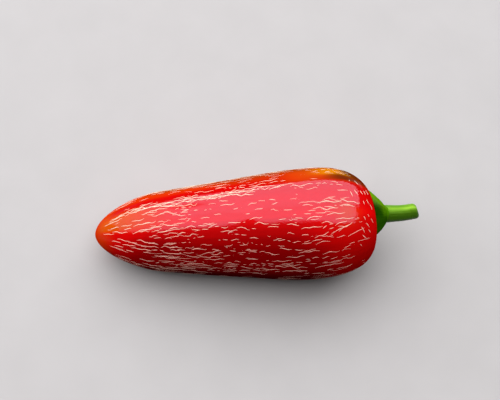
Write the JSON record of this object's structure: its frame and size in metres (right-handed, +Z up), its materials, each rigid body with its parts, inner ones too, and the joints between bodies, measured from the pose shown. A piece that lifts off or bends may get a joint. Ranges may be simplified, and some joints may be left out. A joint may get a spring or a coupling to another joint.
{
  "type": "jalapeno pepper",
  "caption": "Ripe red jalapeno pepper with cream cork lines in its skin, a green calyx and a short cut stem, lying on its side.",
  "frame": {"origin": "on the surface it lies on, under the middle of the whole pepper", "axes": "+Z up, +X from the pod's tip towards the stem, +Y towards the far side"},
  "size_m": [0.1082, 0.0366, 0.0372],
  "materials": {
    "skin": "smooth glossy red skin with cream cork lines along it, orange towards the tip",
    "calyx": "matt green leaf tissue with faint veins",
    "stem": "satin green stalk with soft ribs and a dark, dried cut end"
  },
  "bodies": {
    "root": {"pod": "skin", "calyx": "calyx", "stem": "stem"}
  },
  "joints": []
}
